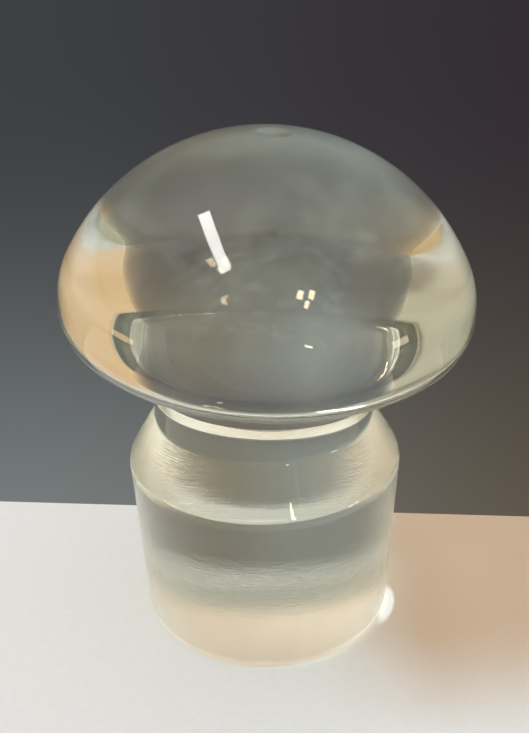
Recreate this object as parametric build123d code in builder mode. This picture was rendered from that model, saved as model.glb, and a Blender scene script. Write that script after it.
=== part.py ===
from build123d import *
import os
from math import asin, atan2, cos, degrees, radians, sin, tan

# Solid glass stopper: a mushroom head on a ground taper plug, pressed and polished as one piece.
# Millimetres and degrees, +Z up. The origin is the middle of the flat foot, on the plug's axis.

# Ground plug: a one in ten taper, 45 mm across its large end
large_end_diameter = 45.0
ground_length = 27.0
taper = 0.1

# Rounded edge at the foot: its height on the taper is also its reach across the flat
foot_reach = 2.4

# Polished shoulder: a steep cone from the large end in to the neck, rounded at both ends
shoulder_slope = 30.0
shoulder_rounding = 3.0
neck_rounding = 2.0

# Neck: the plug's axis bends here into the head's, which leans slightly
neck_diameter = 35.6
neck_bend = 2.0
head_lean = 2.9

# Head underside: the neck flares out in a hollow curve to a shallow cone, which turns up to the rim
underside_slope = 25.0
flare_reach = 5.8
lower_rim_reach = 4.9

# Head: the rim's upper curve runs into a broad crown
head_diameter = 64.3
upper_rim_radius = 14.6
dome_height = 25.4

# Mould mark on the crown: a shallow round dish with a softened edge
dish_diameter = 5.0
dish_depth = 0.35
dish_edge = 0.3

large_end_radius = large_end_diameter / 2
neck_radius = neck_diameter / 2
head_radius = head_diameter / 2
dish_radius = dish_diameter / 2

# Plug section, from the foot up to where the shoulder's cone starts
ground_top = foot_reach + ground_length
foot_radius = large_end_radius - ground_top * taper / 2
ground_foot_radius = foot_radius + foot_reach * taper / 2
slope_cos = cos(radians(shoulder_slope))
slope_sin = sin(radians(shoulder_slope))
cone_start = (
    large_end_radius - shoulder_rounding * (1 - slope_cos),
    ground_top + shoulder_rounding * slope_sin,
)

# The shoulder's cone ends where the neck's hollow curve takes over
cone_end_radius = neck_radius + neck_rounding * (1 - slope_cos)
cone_end = (
    cone_end_radius,
    cone_start[1] + (cone_start[0] - cone_end_radius) / tan(radians(shoulder_slope)),
)
neck_base = cone_end[1] + neck_rounding * slope_sin

# The neck's circle turns about an axis beside it, so that its length at the middle is neck_bend
bend_radius = neck_bend / radians(head_lean)
bend_axis = Axis((bend_radius, 0, neck_base), (0, 1, 0))

# The head's half section lies in the plane of the lean, with its own axis upright in it
lean_cos = cos(radians(head_lean))
lean_sin = sin(radians(head_lean))
head_base = (bend_radius * (1 - lean_cos), 0, neck_base + bend_radius * lean_sin)
head_plane = Plane(origin=head_base, x_dir=(lean_cos, 0, -lean_sin), z_dir=(0, -1, 0))
head_axis = Axis(head_base, (lean_sin, 0, lean_cos))

# Underside section: its cone would meet the neck and the rim's upright in these two corners
under_cos = cos(radians(underside_slope))
under_sin = sin(radians(underside_slope))
neck_corner = (neck_radius, flare_reach)
rim_corner = (
    head_radius,
    flare_reach + (head_radius - neck_radius) * tan(radians(underside_slope)),
)
flare_end = (neck_radius + flare_reach * under_cos, flare_reach * (1 + under_sin))
lower_rim_start = (
    rim_corner[0] - lower_rim_reach * under_cos,
    rim_corner[1] - lower_rim_reach * under_sin,
)
rim_level = rim_corner[1] + lower_rim_reach

# Dome section: the crown's arc touches the rim's upper arc where both turn the same way
crown_level = rim_level + dome_height
rim_centre = head_radius - upper_rim_radius
crown_radius = (rim_centre**2 + dome_height**2 - upper_rim_radius**2) / (
    2 * (dome_height - upper_rim_radius)
)
rim_turn = degrees(atan2(crown_radius - dome_height, rim_centre))
dish_turn = degrees(asin(dish_radius / crown_radius))
dish_rim_level = crown_level - crown_radius * (1 - cos(radians(dish_turn)))
dish_level = dish_rim_level - dish_depth

os.makedirs("parts", exist_ok=True)

with BuildPart() as stopper:
    # Plug and shoulder, turned about the upright axis
    with BuildSketch(Plane.XZ):
        with BuildLine():
            Polyline((0, neck_base), (0, 0), (foot_radius - foot_reach, 0))
            Bezier(
                (foot_radius - foot_reach, 0),
                (foot_radius, 0),
                (ground_foot_radius, foot_reach),
            )
            Line((ground_foot_radius, foot_reach), (large_end_radius, ground_top))
            CenterArc(
                (large_end_radius - shoulder_rounding, ground_top),
                shoulder_rounding,
                0,
                shoulder_slope,
            )
            Line(cone_start, cone_end)
            CenterArc(
                (neck_radius + neck_rounding, neck_base),
                neck_rounding,
                180,
                shoulder_slope,
            )
            Line((neck_radius, neck_base), (0, neck_base))
        make_face()
    revolve(axis=Axis.Z)

    # Neck, bent through the lean
    with BuildSketch(Plane.XY.offset(neck_base)):
        Circle(neck_radius)
    revolve(axis=bend_axis, revolution_arc=head_lean)

    # Head, turned about its leaning axis
    with BuildSketch(head_plane):
        with BuildLine():
            Bezier((neck_radius, 0), neck_corner, flare_end)
            Line(flare_end, lower_rim_start)
            Bezier(lower_rim_start, rim_corner, (head_radius, rim_level))
            CenterArc((rim_centre, rim_level), upper_rim_radius, 0, rim_turn)
            CenterArc(
                (0, crown_level - crown_radius),
                crown_radius,
                rim_turn,
                90 - rim_turn - dish_turn,
            )
            TangentArc((0, dish_level), (dish_radius, dish_rim_level), tangent=(1, 0))
            Polyline((0, dish_level), (0, 0), (neck_radius, 0))
        make_face()
    revolve(axis=head_axis)
    dish_rim = stopper.edges().filter_by(GeomType.CIRCLE).sort_by(head_axis)[-1]
    fillet(dish_rim, radius=dish_edge)

stopper.part.label = "stopper"
export_step(stopper.part, "parts/stopper.step")
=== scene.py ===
"""Looks of the glass stopper: its turned glass body, the table it stands on, the lamps and the camera."""

import logging
import math
from dataclasses import dataclass, field
from enum import Enum
from typing import Iterable, Union

import bpy
from mathutils import Matrix, Vector


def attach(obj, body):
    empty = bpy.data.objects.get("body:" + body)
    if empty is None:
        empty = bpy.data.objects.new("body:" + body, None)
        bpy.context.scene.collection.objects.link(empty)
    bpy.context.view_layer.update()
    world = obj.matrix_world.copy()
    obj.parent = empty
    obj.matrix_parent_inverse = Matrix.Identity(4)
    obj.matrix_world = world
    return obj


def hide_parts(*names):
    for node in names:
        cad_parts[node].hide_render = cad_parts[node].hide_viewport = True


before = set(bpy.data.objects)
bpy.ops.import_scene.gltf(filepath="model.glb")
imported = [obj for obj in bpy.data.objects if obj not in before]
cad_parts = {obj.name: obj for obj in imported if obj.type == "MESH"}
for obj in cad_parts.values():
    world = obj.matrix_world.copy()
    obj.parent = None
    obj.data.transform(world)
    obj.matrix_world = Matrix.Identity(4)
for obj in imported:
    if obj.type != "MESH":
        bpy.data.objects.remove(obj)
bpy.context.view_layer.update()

MM = 0.001
NODE = "stopper"
BODY = "root"

Point = tuple[float, float]
Span = tuple[float, float]
Colour = tuple[float, float, float]

log = logging.getLogger("stopper")


class Signal:
    """A number that runs through a node tree, so that maths on it reads as plain Python."""

    def __init__(self, net: "Network", socket: bpy.types.NodeSocket) -> None:
        """Wraps one output socket of a node in net."""
        self.net = net
        self.socket = socket

    def _math(self, operation: str, *terms: "Operand") -> "Signal":
        """Adds one Math node.

        Args:
            operation: the Math node's operation.
            terms: its inputs, in order.

        Returns:
            The node's result.
        """
        made = self.net.node("ShaderNodeMath", {"operation": operation}, dict(enumerate(terms)))
        return Signal(self.net, made.outputs[0])

    def __add__(self, other: "Operand") -> "Signal":
        """The sum."""
        return self._math("ADD", self, other)

    def __radd__(self, other: "Operand") -> "Signal":
        """The sum, with a plain number first."""
        return self._math("ADD", other, self)

    def __sub__(self, other: "Operand") -> "Signal":
        """The difference."""
        return self._math("SUBTRACT", self, other)

    def __rsub__(self, other: "Operand") -> "Signal":
        """The difference, from a plain number."""
        return self._math("SUBTRACT", other, self)

    def __mul__(self, other: "Operand") -> "Signal":
        """The product."""
        return self._math("MULTIPLY", self, other)

    def __rmul__(self, other: "Operand") -> "Signal":
        """The product, with a plain number first."""
        return self._math("MULTIPLY", other, self)

    def __truediv__(self, other: "Operand") -> "Signal":
        """The quotient."""
        return self._math("DIVIDE", self, other)

    def least(self, other: "Operand") -> "Signal":
        """The smaller of the two."""
        return self._math("MINIMUM", self, other)

    def most(self, other: "Operand") -> "Signal":
        """The larger of the two."""
        return self._math("MAXIMUM", self, other)

    def modulo(self, other: "Operand") -> "Signal":
        """What is left after a whole number of the other."""
        return self._math("MODULO", self, other)

    def whole(self) -> "Signal":
        """The whole number at or below it."""
        return self._math("FLOOR", self)

    def root(self) -> "Signal":
        """Its square root."""
        return self._math("SQRT", self)

    def cos(self) -> "Signal":
        """Its cosine, in radians."""
        return self._math("COSINE", self)

    def sin(self) -> "Signal":
        """Its sine, in radians."""
        return self._math("SINE", self)

    def ramp(self, start: float, end: float) -> "Signal":
        """A soft step.

        Args:
            start: where the step is still 0.
            end: where it has reached 1.

        Returns:
            A number from 0 to 1.
        """
        sockets = {"Value": self, "From Min": start, "From Max": end}
        made = self.net.node("ShaderNodeMapRange", {"interpolation_type": "SMOOTHSTEP"}, sockets)
        return Signal(self.net, made.outputs["Result"])


Operand = Union[Signal, float, int]
Link = Union[Signal, bpy.types.NodeSocket, bpy.types.Node]


class Network:
    """A node tree and the one way that nodes are added to it."""

    def __init__(self, tree: bpy.types.NodeTree) -> None:
        """Wraps a tree, emptied first."""
        self.tree = tree
        tree.nodes.clear()

    def node(
        self,
        kind: str,
        settings: dict[str, object] | None = None,
        sockets: dict[object, object] | None = None,
    ) -> bpy.types.Node:
        """Adds a node.

        Args:
            kind: the node's type.
            settings: its own settings, set first.
            sockets: a value or a link for each named or numbered input.

        Returns:
            The node.
        """
        made = self.tree.nodes.new(kind)
        for name, value in (settings or {}).items():
            setattr(made, name, value)
        for key, value in (sockets or {}).items():
            self.join(value, made.inputs[key])
        return made

    def join(self, value: object, socket: bpy.types.NodeSocket) -> None:
        """Gives an input its value or its link.

        Args:
            value: a number, a tuple, a Signal, a socket or a node whose first output is meant.
            socket: the input.
        """
        if isinstance(value, Signal):
            self.tree.links.new(value.socket, socket)
        elif isinstance(value, bpy.types.Node):
            self.tree.links.new(value.outputs[0], socket)
        elif isinstance(value, bpy.types.NodeSocket):
            self.tree.links.new(value, socket)
        else:
            socket.default_value = value

    def signal(self, node: bpy.types.Node, output: object = 0) -> Signal:
        """One output of a node, as a number."""
        return Signal(self, node.outputs[output])

    def split(self, vector: Link) -> tuple[Signal, Signal, Signal]:
        """The three parts of a vector."""
        parts = self.node("ShaderNodeSeparateXYZ", None, {0: vector})
        return tuple(Signal(self, output) for output in parts.outputs)

    def vector(self, x: Operand, y: Operand, z: Operand) -> bpy.types.Node:
        """A vector from three numbers."""
        return self.node("ShaderNodeCombineXYZ", None, {0: x, 1: y, 2: z})

    def blend(self, amount: Operand, first: object, second: object) -> bpy.types.NodeSocket:
        """A colour between two.

        Args:
            amount: 0 gives the first, 1 the second.
            first: a colour or a link.
            second: a colour or a link.

        Returns:
            The mixed colour's socket.
        """
        colours = [(*c, 1.0) if isinstance(c, tuple) else c for c in (first, second)]
        mixed = self.node("ShaderNodeMix", {"data_type": "RGBA"}, {0: amount, 6: colours[0], 7: colours[1]})
        return mixed.outputs[2]

    def noise(self, place: Link, scale: float, detail: float = 2.0, rough: float = 0.5) -> Signal:
        """Smooth noise.

        Args:
            place: the coordinates.
            scale: how many cells to a metre.
            detail: how many finer layers.
            rough: how strong the finer layers are.

        Returns:
            A number around one half.
        """
        sockets = {"Vector": place, "Scale": scale, "Detail": detail, "Roughness": rough}
        return self.signal(self.node("ShaderNodeTexNoise", None, sockets))

    def stretch(self, place: Link, x: float, y: float, z: float) -> bpy.types.Node:
        """Coordinates scaled differently along each axis."""
        return self.node("ShaderNodeVectorMath", {"operation": "MULTIPLY"}, {0: place, 1: (x, y, z)})


def new_material(name: str) -> tuple[bpy.types.Material, Network]:
    """Makes an empty node material.

    Args:
        name: the material's name.

    Returns:
        The material and its tree.
    """
    material = bpy.data.materials.new(name)
    material.use_nodes = True
    return material, Network(material.node_tree)


@dataclass(frozen=True)
class GlassFinish:
    """Clear glass with a faint grey-green body: polished above, finely ground on the taper, pale at the foot,
    where the pale film carries painted shade towards the back and painted light at the sides.

    Heights are in millimetres. foot_back is in metres, and foot_middle in metres squared.
    """

    ground_from: float
    ground_to: float
    ground_border: float = 0.35
    border_wobble: float = 1.2
    foot_from: float = 0.05
    foot_to: float = 0.3
    foot_middle: Span = (3e-5, 2.4e-4)
    # foot_back and back_dimming set the painted shade towards the back of the foot
    foot_back: Span = (0.003, 0.015)
    back_dimming: float = 0.9
    depth_colour: Colour = (0.70, 0.76, 0.58)
    depth_density: float = 5.0
    polished_tint: Colour = (1.0, 1.0, 1.0)
    ground_tint: Colour = (0.74, 0.74, 0.70)
    film_colour: Colour = (0.76, 0.80, 0.71)
    foot_colour: Colour = (0.96, 0.81, 0.73)
    # Painted light: the foot's film turns this paler colour towards its sides
    foot_side_painted_light: Colour = (0.99, 0.96, 0.92)
    shadow_tint: Colour = (0.95, 0.97, 0.95)
    ior: float = 1.5
    polished_roughness: float = 0.012
    smear_levels: Span = (0.42, 0.78)
    smear_roughness: float = 0.03
    ground_roughness: float = 0.042
    streak_roughness: float = 0.07
    foot_roughness: float = 0.3
    relief_strength: float = 0.16
    relief_depth: float = 0.0002
    grain_height: float = 0.6
    streak_height: float = 1.2
    ripple_height: float = 1.8
    polished_film: float = 0.07
    ground_film: float = 0.025
    ground_edge_film: float = 0.30
    glancing: Span = (0.35, 0.95)
    foot_film: float = 0.93
    shadow_clearness: float = 0.97

    def make(self) -> bpy.types.Material:
        """Builds the material.

        Returns:
            The glass.
        """
        material, net = new_material("stopper_glass")
        place = net.node("ShaderNodeTexCoord").outputs["Object"]
        across, along, up = net.split(place)
        height = up / MM
        wobble = (net.noise(place, scale=260.0, detail=3.0) - 0.5) * self.border_wobble
        ground = self._ground_mask(height + wobble)
        foot = 1 - height.ramp(self.foot_from, self.foot_to)
        streaks = net.noise(net.stretch(place, 1.0, 1.0, 9.0), scale=420.0, detail=4.0, rough=0.65)
        smears = net.noise(net.stretch(place, 1.0, 1.0, 0.6), scale=95.0, detail=5.0, rough=0.62)
        smears = smears.ramp(*self.smear_levels)
        roughness = (
            self.polished_roughness
            + smears * self.smear_roughness
            + ground * (self.ground_roughness + (streaks - 0.5) * self.streak_roughness)
            + foot * self.foot_roughness
        )
        skin = net.node(
            "ShaderNodeBsdfPrincipled",
            None,
            {
                "Base Color": net.blend(ground, self.polished_tint, self.ground_tint),
                "Roughness": roughness,
                "IOR": self.ior,
                "Transmission Weight": 1.0,
                "Normal": self._relief(net, place, ground, streaks),
            },
        )
        share = self._film_share(net, ground, streaks, smears)
        # Painted shade: the foot's pale film thins out towards the back, darkening the foot there
        shade = 1 - along.ramp(*self.foot_back) * self.back_dimming
        film = self._film(net, foot, across)
        filmed = net.node(
            "ShaderNodeMixShader", None, {0: share.most(foot * self.foot_film * shade), 1: skin, 2: film}
        )
        clear = net.node("ShaderNodeBsdfTransparent", None, {"Color": (*self.shadow_tint, 1.0)})
        shadow_ray = net.signal(net.node("ShaderNodeLightPath"), "Is Shadow Ray")
        surface = net.node(
            "ShaderNodeMixShader", None, {0: shadow_ray * self.shadow_clearness, 1: filmed, 2: clear}
        )
        depth = net.node(
            "ShaderNodeVolumeAbsorption",
            None,
            {"Color": (*self.depth_colour, 1.0), "Density": self.depth_density},
        )
        net.node("ShaderNodeOutputMaterial", None, {"Surface": surface, "Volume": depth})
        return material

    def _ground_mask(self, height: Signal) -> Signal:
        """1 on the ground taper and 0 off it, from the height in millimetres."""
        border = self.ground_border
        above_foot = height.ramp(self.ground_from - border, self.ground_from + border)
        above_ground = height.ramp(self.ground_to - border, self.ground_to + border)
        return above_foot * (1 - above_ground)

    def _relief(self, net: Network, place: Link, ground: Signal, streaks: Signal) -> bpy.types.Node:
        """The fine marks that the grinding left round the taper.

        Args:
            net: the glass's tree.
            place: the coordinates.
            ground: 1 on the ground taper.
            streaks: the noise drawn out round the taper.

        Returns:
            The bump node.
        """
        grain = net.noise(net.stretch(place, 1.0, 1.0, 3.0), scale=2600.0, detail=3.0, rough=0.7)
        ripple = net.noise(net.stretch(place, 0.22, 0.22, 1.0), scale=640.0, detail=3.0, rough=0.55)
        marks = grain * self.grain_height + streaks * self.streak_height + ripple * self.ripple_height
        sockets = {"Strength": self.relief_strength, "Distance": self.relief_depth, "Height": ground * marks}
        return net.node("ShaderNodeBump", None, sockets)

    def _film_share(self, net: Network, ground: Signal, streaks: Signal, smears: Signal) -> Signal:
        """How much of the light the film scatters, away from the foot.

        Args:
            net: the glass's tree.
            ground: 1 on the ground taper.
            streaks: the noise drawn out round the taper.
            smears: 1 where the glass is smeared.

        Returns:
            The film's share.
        """
        facing = net.signal(net.node("ShaderNodeLayerWeight", None, {"Blend": 0.5}), "Facing")
        share = self.polished_film * (0.5 + smears) + ground * self.ground_film * (0.6 + streaks * 0.8)
        return share + ground * facing.ramp(*self.glancing) * self.ground_edge_film

    def _film(self, net: Network, foot: Signal, across: Signal) -> bpy.types.Node:
        """The thin pale film on the glass, and the paler one under the foot, painted lighter at its sides.

        Args:
            net: the glass's tree.
            foot: 1 at the foot.
            across: distance to the side, in metres.

        Returns:
            The film's shader.
        """
        body, middle, side = [
            net.node("ShaderNodeBsdfDiffuse", None, {"Color": (*colour, 1.0)})
            for colour in (self.film_colour, self.foot_colour, self.foot_side_painted_light)
        ]
        # Painted light: the foot's film is paler towards the sides, where the flanks look lighter
        painted_side_light = (across * across).ramp(*self.foot_middle)
        foot_film = net.node("ShaderNodeMixShader", None, {0: painted_side_light, 1: middle, 2: side})
        return net.node("ShaderNodeMixShader", None, {0: foot, 1: body, 2: foot_film})


@dataclass(frozen=True)
class TableFinish:
    """A plain pale table top, neutral on one side with painted warm shade on the other, and a painted patch
    of light by the plug where the glass would focus the lamps.

    Sizes are in metres.
    """

    cool: Colour = (0.71, 0.72, 0.735)
    # warm is painted warm shade, drawn into the top's colour on the right of the plug rather than cast by a
    # lamp
    warm: Colour = (0.50, 0.37, 0.27)
    # The painted patch of light that the glass would focus onto the top beside the plug
    painted_caustic: Colour = (0.88, 0.88, 0.90)
    fleck: Colour = (0.40, 0.36, 0.32)
    fleck_share: float = 0.06
    fleck_levels: Span = (0.3, 0.7)
    roughness: float = 0.55
    specular: float = 0.3
    warm_shade_across: Span = (0.004, 0.030)
    warm_shade_along: Span = (-0.040, -0.010)
    warm_shade_drift: float = 0.012
    patch_radius: float = 0.0216
    patch_half_width: float = 0.0014
    patch_middle: float = -0.0048
    patch_half_length: float = 0.0058
    patch_softness: float = 0.75
    patch_side: Span = (-0.010, 0.0)

    def make(self) -> bpy.types.Material:
        """Builds the material.

        Returns:
            The table's surface.
        """
        material, net = new_material("table_top")
        place = net.node("ShaderNodeTexCoord").outputs["Object"]
        across, along, _ = net.split(place)
        drift = (net.noise(place, scale=45.0) - 0.5) * self.warm_shade_drift
        # Painted warm shade: the right-hand part of the top is darkened and warmed in its colour, as if dim
        # warm light fell there
        painted_warm_shade = (across + drift).ramp(*self.warm_shade_across) * (along + drift).ramp(*self.warm_shade_along)
        with_warm_shade = net.blend(painted_warm_shade, self.cool, self.warm)
        # Painted light: a bright patch drawn into the colour beside the plug, where the glass would focus the
        # lamps
        painted_caustic = (1 - self._distance(across, along)).ramp(0.0, self.patch_softness)
        colour = net.blend(painted_caustic, with_warm_shade, self.painted_caustic)
        flecks = net.noise(place, scale=900.0, detail=4.0).ramp(*self.fleck_levels)
        skin = net.node(
            "ShaderNodeBsdfPrincipled",
            None,
            {
                "Base Color": net.blend(flecks * self.fleck_share, colour, self.fleck),
                "Roughness": self.roughness,
                "Specular IOR Level": self.specular,
            },
        )
        net.node("ShaderNodeOutputMaterial", None, {"Surface": skin})
        return material

    def _distance(self, across: Signal, along: Signal) -> Signal:
        """How far a point lies from the middle of the painted patch of light, 1 at the patch's border.

        Args:
            across: distance to the right, in metres.
            along: distance away from the camera, in metres.

        Returns:
            The distance squared, pushed past 1 on the plug's left side.
        """
        outward = ((across * across + along * along).root() - self.patch_radius) / self.patch_half_width
        beside = (along - self.patch_middle) / self.patch_half_length
        other_side = (0 - across).ramp(*self.patch_side) * 9
        return outward * outward + beside * beside + other_side


def arc(centre: Point, radius: float, start: float, end: float, step: float = 2.0) -> list[Point]:
    """Points on an arc, its first point left out.

    Args:
        centre: the arc's middle, in millimetres.
        radius: in millimetres.
        start: the angle it starts at, in degrees.
        end: the angle it ends at.
        step: the largest angle between two points.

    Returns:
        The points in order.
    """
    count = max(3, math.ceil(abs(end - start) / step))
    angles = (math.radians(start + (end - start) * i / count) for i in range(1, count + 1))
    return [(centre[0] + radius * math.cos(a), centre[1] + radius * math.sin(a)) for a in angles]


def run(start: Point, end: Point, step: float = 0.8) -> list[Point]:
    """Points on a straight line, its first point left out.

    Args:
        start: where it starts, in millimetres.
        end: where it ends.
        step: the largest distance between two points.

    Returns:
        The points in order.
    """
    count = max(1, math.ceil(math.dist(start, end) / step))
    shares = (i / count for i in range(1, count + 1))
    return [(start[0] + (end[0] - start[0]) * s, start[1] + (end[1] - start[1]) * s) for s in shares]


def bend(start: Point, corner: Point, end: Point, count: int) -> list[Point]:
    """Points on a curve that leaves towards a corner and arrives from it, its first point left out.

    Args:
        start: where it starts, in millimetres.
        corner: where the lines that it touches at both ends would meet.
        end: where it ends.
        count: how many points.

    Returns:
        The points in order.
    """
    shares = (i / count for i in range(1, count + 1))
    weights = (((1 - s) ** 2, 2 * s * (1 - s), s**2) for s in shares)
    return [tuple(a * p + b * q + c * r for p, q, r in zip(start, corner, end)) for a, b, c in weights]


@dataclass
class GlassBody:
    """The stopper's one piece of glass, turned from its half section and bent at the neck.

    Sizes are in millimetres and degrees.
    """

    large_end_diameter: float = 45.0
    ground_length: float = 27.0
    taper: float = 0.1
    foot_reach: float = 2.4
    shoulder_slope: float = 30.0
    shoulder_rounding: float = 3.0
    neck_rounding: float = 2.0
    neck_diameter: float = 35.6
    neck_bend: float = 2.0
    head_lean: float = 2.9
    underside_slope: float = 25.0
    flare_reach: float = 5.8
    lower_rim_reach: float = 4.9
    head_diameter: float = 64.3
    upper_rim_radius: float = 14.6
    dome_height: float = 25.4
    dish_diameter: float = 5.0
    dish_depth: float = 0.35
    segments: int = 400
    polish_allowance: float = 0.04
    waviness: float = 0.03
    neck_base: float = field(init=False)

    @property
    def ground_top(self) -> float:
        """Height of the ground taper's upper end."""
        return self.foot_reach + self.ground_length

    @property
    def middle(self) -> Vector:
        """A point on the axis about half way up, in metres, for the lamps to point at."""
        return Vector((0.0, 0.0, self.ground_top * 1.5 * MM))

    def plug_section(self) -> list[Point]:
        """The half section from the middle of the foot up to the bend in the neck.

        Returns:
            Radius and height of each point.
        """
        large = self.large_end_diameter / 2
        neck = self.neck_diameter / 2
        foot = large - self.ground_top * self.taper / 2
        slope = math.radians(self.shoulder_slope)
        cone_start = (
            large - self.shoulder_rounding * (1 - math.cos(slope)),
            self.ground_top + self.shoulder_rounding * math.sin(slope),
        )
        cone_end_radius = neck + self.neck_rounding * (1 - math.cos(slope))
        cone_end = (cone_end_radius, cone_start[1] + (cone_start[0] - cone_end_radius) / math.tan(slope))
        self.neck_base = cone_end[1] + self.neck_rounding * math.sin(slope)
        flat = foot - self.foot_reach
        edge_top = (foot + self.foot_reach * self.taper / 2, self.foot_reach)
        points = [(0.0, 0.0)] + run((0.0, 0.0), (flat, 0.0), step=3.0)
        points += bend((flat, 0.0), (foot, 0.0), edge_top, count=14)
        points += run(edge_top, (large, self.ground_top))
        shoulder = (large - self.shoulder_rounding, self.ground_top)
        points += arc(shoulder, self.shoulder_rounding, 0, self.shoulder_slope)
        points += run(cone_start, cone_end)
        hollow = (neck + self.neck_rounding, self.neck_base)
        return points + arc(hollow, self.neck_rounding, 180 + self.shoulder_slope, 180)

    def head_section(self) -> list[Point]:
        """The half section from the top of the neck over the rim to the middle of the crown.

        Returns:
            Radius, and height above the top of the neck, of each point.
        """
        neck = self.neck_diameter / 2
        head = self.head_diameter / 2
        slope = math.radians(self.underside_slope)
        flare_corner = (neck, self.flare_reach)
        flare_end = (neck + self.flare_reach * math.cos(slope), self.flare_reach * (1 + math.sin(slope)))
        rim_corner = (head, self.flare_reach + (head - neck) * math.tan(slope))
        rim_start = (
            head - self.lower_rim_reach * math.cos(slope),
            rim_corner[1] - self.lower_rim_reach * math.sin(slope),
        )
        rim_level = rim_corner[1] + self.lower_rim_reach
        crown_level = rim_level + self.dome_height
        rim_centre = head - self.upper_rim_radius
        crown_radius = (rim_centre**2 + self.dome_height**2 - self.upper_rim_radius**2) / (
            2 * (self.dome_height - self.upper_rim_radius)
        )
        rim_turn = math.degrees(math.atan2(crown_radius - self.dome_height, rim_centre))
        dish = self.dish_diameter / 2
        dish_turn = math.degrees(math.asin(dish / crown_radius))
        dish_rim = crown_level - crown_radius * (1 - math.cos(math.radians(dish_turn)))
        dish_curve = (dish**2 + self.dish_depth**2) / (2 * self.dish_depth)
        dish_half = math.degrees(math.asin(dish / dish_curve))
        points = bend((neck, 0.0), flare_corner, flare_end, count=20)
        points += run(flare_end, rim_start)
        points += bend(rim_start, rim_corner, (head, rim_level), count=20)
        points += arc((rim_centre, rim_level), self.upper_rim_radius, 0, rim_turn)
        points += arc((0, crown_level - crown_radius), crown_radius, rim_turn, 90 - dish_turn, step=1.2)
        return points + arc((0, dish_rim - self.dish_depth + dish_curve), dish_curve, dish_half - 90, -90)

    def section(self) -> list[Point]:
        """The whole half section, the neck's bend drawn straight and the allowance taken off all round.

        Returns:
            Radius and height of each point, from the foot's middle to the crown's.
        """
        plug = self.plug_section()
        neck = self.neck_diameter / 2
        head_base = self.neck_base + self.neck_bend
        straight = run((neck, self.neck_base), (neck, head_base), step=0.2)
        head = [(radius, head_base + height) for radius, height in self.head_section()]
        points = plug + straight + head
        inset = self.polish_allowance
        return [(max(0.0, r - inset) if r > inset else 0.0, max(inset, z - inset)) for r, z in points]

    def profile_object(self) -> bpy.types.Object:
        """The half section as a line of vertices, which the lathe reads in order.

        Returns:
            The object that the lathe's modifier sits on.
        """
        points = self.section()
        mesh = bpy.data.meshes.new("stopper_section")
        vertices = [(r * MM, 0.0, z * MM) for r, z in points]
        mesh.from_pydata(vertices, [(i, i + 1) for i in range(len(points) - 1)], [])
        section = bpy.data.objects.new("stopper_section", mesh)
        bpy.context.scene.collection.objects.link(section)
        return section

    def lathe(self) -> bpy.types.NodeTree:
        """The node tree that turns a half section about Z and bends it at the neck.

        Returns:
            The tree, with a named input for each size.
        """
        tree = bpy.data.node_groups.new("glass_lathe", "GeometryNodeTree")
        face = tree.interface
        face.new_socket("Geometry", in_out="INPUT", socket_type="NodeSocketGeometry")
        for name in ("Rows", "Segments"):
            face.new_socket(name, in_out="INPUT", socket_type="NodeSocketInt")
        for name in ("Neck Base", "Neck Bend", "Lean", "Waviness"):
            face.new_socket(name, in_out="INPUT", socket_type="NodeSocketFloat")
        face.new_socket("Glass", in_out="INPUT", socket_type="NodeSocketMaterial")
        face.new_socket("Geometry", in_out="OUTPUT", socket_type="NodeSocketGeometry")
        net = Network(tree)
        inputs = net.node("NodeGroupInput")
        rows = net.signal(inputs, "Rows")
        segments = net.signal(inputs, "Segments")
        grid = net.node("GeometryNodeMeshGrid", None, {"Vertices X": segments + 1, "Vertices Y": rows})
        index = net.signal(net.node("GeometryNodeInputIndex"))
        sampled = net.node(
            "GeometryNodeSampleIndex",
            {"data_type": "FLOAT_VECTOR"},
            {
                "Geometry": inputs.outputs["Geometry"],
                "Value": net.node("GeometryNodeInputPosition"),
                "Index": index.modulo(rows),
            },
        )
        radius, _, height = net.split(sampled)
        # The small part added keeps rounding from putting a column's first point in the one before
        column = (index / rows + 0.001).whole()
        angle = column / segments * math.tau
        turned = self._wavy(net, inputs, radius, height, angle)
        place = self._leaning(net, inputs, turned)
        moved = net.node("GeometryNodeSetPosition", None, {"Geometry": grid, "Position": place})
        merged = net.node("GeometryNodeMergeByDistance", None, {"Geometry": moved, "Distance": 2e-7})
        smooth = net.node("GeometryNodeSetShadeSmooth", None, {"Geometry": merged})
        real = net.node("GeometryNodeRealizeInstances", None, {"Geometry": smooth})
        glass = inputs.outputs["Glass"]
        dressed = net.node("GeometryNodeSetMaterial", None, {"Geometry": real, "Material": glass})
        net.node("NodeGroupOutput", None, {"Geometry": dressed})
        return tree

    def _wavy(
        self, net: Network, inputs: bpy.types.Node, radius: Signal, height: Signal, angle: Signal
    ) -> tuple[Signal, Signal, Signal]:
        """Turns the section about Z, with the faint waviness of fire-polished glass.

        Args:
            net: the lathe's tree.
            inputs: the tree's inputs.
            radius: a point's distance from the axis.
            height: its height.
            angle: how far round it is.

        Returns:
            The point's three coordinates.
        """
        around = net.vector(radius * angle.cos(), radius * angle.sin(), height)
        swell = net.noise(around, 55.0, 1.0) - 0.5
        waved = radius * (1 - net.signal(inputs, "Waviness") * (swell + 0.5))
        return waved * angle.cos(), waved * angle.sin(), height

    def _leaning(
        self, net: Network, inputs: bpy.types.Node, point: tuple[Signal, Signal, Signal]
    ) -> bpy.types.Node:
        """Bends a point about an axis beside the neck, and carries the head round with it.

        Args:
            net: the lathe's tree.
            inputs: the tree's inputs.
            point: its coordinates on the straight body.

        Returns:
            A node that gives its place on the bent one.
        """
        x, y, z = point
        base = net.signal(inputs, "Neck Base")
        length = net.signal(inputs, "Neck Bend")
        bend_radius = length / net.signal(inputs, "Lean")
        turn = (z - base).most(0.0).least(length) / bend_radius
        beyond = (z - base - length).most(0.0)
        inside = bend_radius - x
        leant_x = bend_radius - inside * turn.cos() + beyond * turn.sin()
        leant_z = z.least(base) + inside * turn.sin() + beyond * turn.cos()
        return net.vector(leant_x, y, leant_z)

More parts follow.
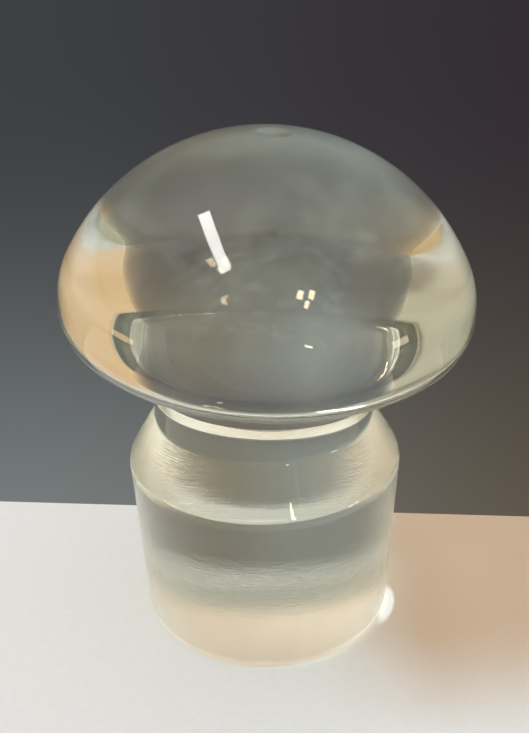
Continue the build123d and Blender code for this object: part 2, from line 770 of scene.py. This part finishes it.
    def build(self, glass: bpy.types.Material) -> bpy.types.Object:
        """Turns the section into the finished glass mesh and puts it in the CAD node's place.

        Args:
            glass: its material.

        Returns:
            The glass body.
        """
        section = self.profile_object()
        tree = self.lathe()
        values = {
            "Rows": len(section.data.vertices),
            "Segments": self.segments,
            "Neck Base": self.neck_base * MM,
            "Neck Bend": self.neck_bend * MM,
            "Lean": math.radians(self.head_lean),
            "Waviness": self.waviness / (self.head_diameter / 2),
            "Glass": glass,
        }
        turning = section.modifiers.new("lathe", "NODES")
        turning.node_group = tree
        for item in tree.interface.items_tree:
            if item.item_type == "SOCKET" and item.in_out == "INPUT" and item.name in values:
                turning[item.identifier] = values[item.name]
        turned = bpy.data.meshes.new_from_object(section.evaluated_get(bpy.context.evaluated_depsgraph_get()))
        bpy.data.objects.remove(section)
        turned.name = "glass_body"
        body = bpy.data.objects.new("glass_body", turned)
        bpy.context.scene.collection.objects.link(body)
        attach(body, BODY)
        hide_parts(NODE)
        return body


class LampShape(Enum):
    """Outlines that a soft lamp may have."""

    PANEL = "RECTANGLE"
    OVAL = "ELLIPSE"


@dataclass(frozen=True)
class Lamp:
    """A soft lamp aimed at the middle of the stopper. Metres, and its brightness as it looks head on."""

    name: str
    place: tuple[float, float, float]
    size: tuple[float, float]
    brightness: float
    colour: Colour = (1.0, 1.0, 1.0)
    shape: LampShape = LampShape.PANEL
    along: tuple[float, float, float] = (0.0, 1.0, 0.0)
    reflected: bool = True

    def build(self, target: Vector) -> bpy.types.Object:
        """Hangs the lamp.

        Args:
            target: what it points at.

        Returns:
            The lamp.
        """
        light = bpy.data.lights.new(self.name, "AREA")
        light.shape = self.shape.value
        light.size, light.size_y = self.size
        share = math.pi / 4 if self.shape is LampShape.OVAL else 1.0
        light.energy = self.brightness * math.pi * self.size[0] * self.size[1] * share
        light.color = self.colour
        lamp = bpy.data.objects.new(self.name, light)
        back = (Vector(self.place) - target).normalized()
        side = Vector(self.along).cross(back).normalized()
        turned = Matrix((side, back.cross(side), back)).transposed()
        lamp.matrix_world = Matrix.Translation(self.place) @ turned.to_4x4()
        lamp.visible_camera = False
        lamp.visible_glossy = self.reflected
        lamp.visible_transmission = self.reflected
        bpy.context.scene.collection.objects.link(lamp)
        return lamp


@dataclass
class Table:
    """The table top, whose far edge runs just behind the stopper. Metres, and degrees for its turn."""

    width: float = 1.6
    depth: float = 0.9
    thickness: float = 0.02
    far_edge: float = 0.0248
    edge_turn: float = -5.1

    def build(self, finish: TableFinish) -> bpy.types.Object:
        """Lays the table.

        Args:
            finish: its surface.

        Returns:
            The table.
        """
        half = self.width / 2
        near = self.far_edge - self.depth
        outline = ((-half, near), (half, near), (half, self.far_edge), (-half, self.far_edge))
        corners = [(x, y, z) for z in (-self.thickness, 0.0) for x, y in outline]
        faces = [(3, 2, 1, 0), (4, 5, 6, 7), (0, 1, 5, 4), (1, 2, 6, 5), (2, 3, 7, 6), (3, 0, 4, 7)]
        mesh = bpy.data.meshes.new("table")
        mesh.from_pydata(corners, [], faces)
        mesh.transform(Matrix.Rotation(math.radians(self.edge_turn), 4, "Z"))
        mesh.materials.append(finish.make())
        table = bpy.data.objects.new("table", mesh)
        bpy.context.scene.collection.objects.link(table)
        return table


@dataclass(frozen=True)
class Surroundings:
    """The plain room that shows behind, through and in the glass, and the soft light that it gives.

    Cool is the left half of the backdrop and warm the right half, seen from the camera. Each span is how far
    a direction points up, across to the right or away from the camera, from -1 to 1.
    """

    far_cool: Colour = (0.048, 0.052, 0.058)
    near_cool: Colour = (0.215, 0.24, 0.24)
    far_warm: Colour = (0.034, 0.027, 0.033)
    near_warm: Colour = (0.125, 0.103, 0.074)
    right_wall: Colour = (0.80, 0.50, 0.235)
    left_wall: Colour = (0.50, 0.46, 0.34)
    left_door: Colour = (0.20, 0.16, 0.10)
    left_window: Colour = (0.95, 0.96, 0.90)
    ceiling: Colour = (1.0, 0.98, 0.88)
    ceiling_far: Colour = (0.20, 0.24, 0.21)
    behind: Colour = (0.34, 0.32, 0.26)
    near_wall: Colour = (0.66, 0.72, 0.63)
    fill: Colour = (0.60, 0.595, 0.58)
    backdrop_down: Span = (0.12, 0.66)
    backdrop_across: Span = (-0.30, 0.30)
    side_foot: Span = (-0.35, 0.05)
    side_top: Span = (0.72, 0.86)
    side_across: Span = (0.50, 0.80)
    patch_levels: Span = (0.54, 0.64)
    patch_share: float = 0.9
    ceiling_up: Span = (0.16, 0.42)
    ceiling_start: Span = (-0.16, -0.06)
    ceiling_fading: Span = (0.15, 0.75)
    near_wall_back: Span = (0.30, 0.70)
    door_foot: Span = (0.50, 0.60)
    door_top: Span = (0.80, 0.90)
    window_foot: Span = (-0.10, 0.02)
    window_top: Span = (0.18, 0.27)

    def build(self) -> bpy.types.World:
        """Sets the world.

        Returns:
            The world.
        """
        world = bpy.data.worlds.new("surroundings")
        world.use_nodes = True
        net = Network(world.node_tree)
        towards = net.node("ShaderNodeTexCoord").outputs["Generated"]
        path = net.node("ShaderNodeLightPath")
        shown = net.signal(path, "Is Camera Ray").most(net.signal(path, "Is Glossy Ray"))
        shown = shown.most(net.signal(path, "Is Transmission Ray"))
        colour = net.blend(shown, self.fill, self._room(net, towards))
        background = net.node("ShaderNodeBackground", None, {"Color": colour, "Strength": 1.0})
        net.node("ShaderNodeOutputWorld", None, {"Surface": background})
        bpy.context.scene.world = world
        return world

    def _room(self, net: Network, towards: Link) -> bpy.types.NodeSocket:
        """The room's colour in a direction.

        Args:
            net: the world's tree.
            towards: the direction.

        Returns:
            The colour's socket.
        """
        across, away, up = net.split(towards)
        low = (0 - up).ramp(*self.backdrop_down)
        low = low * low
        cool_side = net.blend(low, self.far_cool, self.near_cool)
        warm_side = net.blend(low, self.far_warm, self.near_warm)
        backdrop = net.blend(across.ramp(*self.backdrop_across), cool_side, warm_side)
        level_room = net.blend((0 - away).ramp(*self.near_wall_back), backdrop, self.near_wall)
        room = net.blend(up.ramp(*self.ceiling_up), level_room, self._overhead(net, towards, away))
        level = up.ramp(*self.side_foot) * (1 - up.ramp(*self.side_top))
        room = net.blend(across.ramp(*self.side_across) * level, room, self.right_wall)
        return net.blend((0 - across).ramp(*self.side_across) * level, room, self._left_side(net, up))

    def _overhead(self, net: Network, towards: Link, away: Signal) -> bpy.types.NodeSocket:
        """The ceiling, patchy on the camera's side and fading to grey on the far side.

        Args:
            net: the world's tree.
            towards: the direction.
            away: how far it points away from the camera.

        Returns:
            The colour's socket.
        """
        patches = net.noise(net.stretch(towards, 1.0, 2.0, 1.0), scale=5.5, detail=3.0)
        patches = patches.ramp(*self.patch_levels)
        near = net.blend(patches * self.patch_share, self.behind, self.ceiling)
        far = net.blend(away.ramp(*self.ceiling_fading), self.ceiling, self.ceiling_far)
        return net.blend(away.ramp(*self.ceiling_start), near, far)

    def _left_side(self, net: Network, up: Signal) -> bpy.types.NodeSocket:
        """The left wall with its dark upper part and its window.

        Args:
            net: the world's tree.
            up: how far the direction points up.

        Returns:
            The colour's socket.
        """
        door = up.ramp(*self.door_foot) * (1 - up.ramp(*self.door_top))
        window = up.ramp(*self.window_foot) * (1 - up.ramp(*self.window_top))
        wall = net.blend(door, self.left_wall, self.left_door)
        return net.blend(window, wall, self.left_window)


@dataclass(frozen=True)
class Viewpoint:
    """The camera, held close in front of the stopper and looking down at it. Metres and degrees."""

    stand_off: float = 0.15107
    height: float = 0.12424
    pitch: float = 27.557
    yaw: float = 0.109
    roll: float = -1.267
    lens: float = 52.0
    clip: tuple[float, float] = (0.01, 20.0)

    def build(self) -> bpy.types.Object:
        """Sets the camera up.

        Returns:
            The camera.
        """
        data = bpy.data.cameras.new("camera")
        data.lens = self.lens
        data.clip_start, data.clip_end = self.clip
        camera = bpy.data.objects.new("camera", data)
        tilt = Matrix.Rotation(math.radians(90 - self.pitch), 4, "X")
        swing = Matrix.Rotation(math.radians(-self.yaw), 4, "Z")
        spin = Matrix.Rotation(math.radians(self.roll), 4, "Z")
        camera.matrix_world = Matrix.Translation((0.0, -self.stand_off, self.height)) @ swing @ tilt @ spin
        bpy.context.scene.collection.objects.link(camera)
        bpy.context.scene.camera = camera
        return camera


WHITE = (1.0, 0.98, 0.95)
WARM = (1.0, 0.76, 0.50)
UPRIGHT = (0.0, 0.0, 1.0)

LAMPS = (
    Lamp("ceiling_tube", (-0.565, -0.22, 1.5), (0.14, 1.0), 18.0, WHITE, along=(-0.13, 1.0, 0.0)),
    Lamp("ceiling_panel", (0.0, -0.3, 1.6), (1.6, 1.6), 0.85, WHITE, reflected=False),
    Lamp("left_bulb", (0.26, -0.56, 0.72), (0.045, 0.07), 24.0, WARM),
    Lamp("right_bulb", (0.35, -0.55, 0.72), (0.045, 0.07), 24.0, WARM),
    Lamp("lower_bulb", (0.305, -0.60, 0.66), (0.035, 0.06), 24.0, WARM),
    Lamp("low_lamp", (0.314, -0.786, 0.365), (0.09, 0.035), 24.0, WARM, LampShape.OVAL),
    Lamp("left_lamp", (-0.80, -0.18, 0.065), (0.20, 0.07), 8.0, (1.0, 0.66, 0.28), along=UPRIGHT),
    Lamp("right_lamp", (0.77, -0.28, 0.085), (0.14, 0.09), 7.0, (1.0, 0.86, 0.66), along=UPRIGHT),
)


def report(pieces: Iterable[bpy.types.Object]) -> None:
    """Logs each finished piece with its face count."""
    for piece in pieces:
        faces = len(piece.data.polygons) if piece.type == "MESH" else 0
        log.info("built %s with %d faces", piece.name, faces)


def main() -> None:
    """Builds the glass, the table, the surroundings, the lamps and the camera, in that order."""
    logging.basicConfig(level=logging.INFO, format="%(name)s: %(message)s")
    bpy.context.scene.view_settings.view_transform = "Standard"
    glass = GlassBody()
    finish = GlassFinish(ground_from=glass.foot_reach, ground_to=glass.ground_top)
    body = glass.build(finish.make())
    table = Table().build(TableFinish())
    Surroundings().build()
    lamps = [lamp.build(glass.middle) for lamp in LAMPS]
    camera = Viewpoint().build()
    report([body, table, *lamps, camera])


if __name__ == "__main__":
    main()
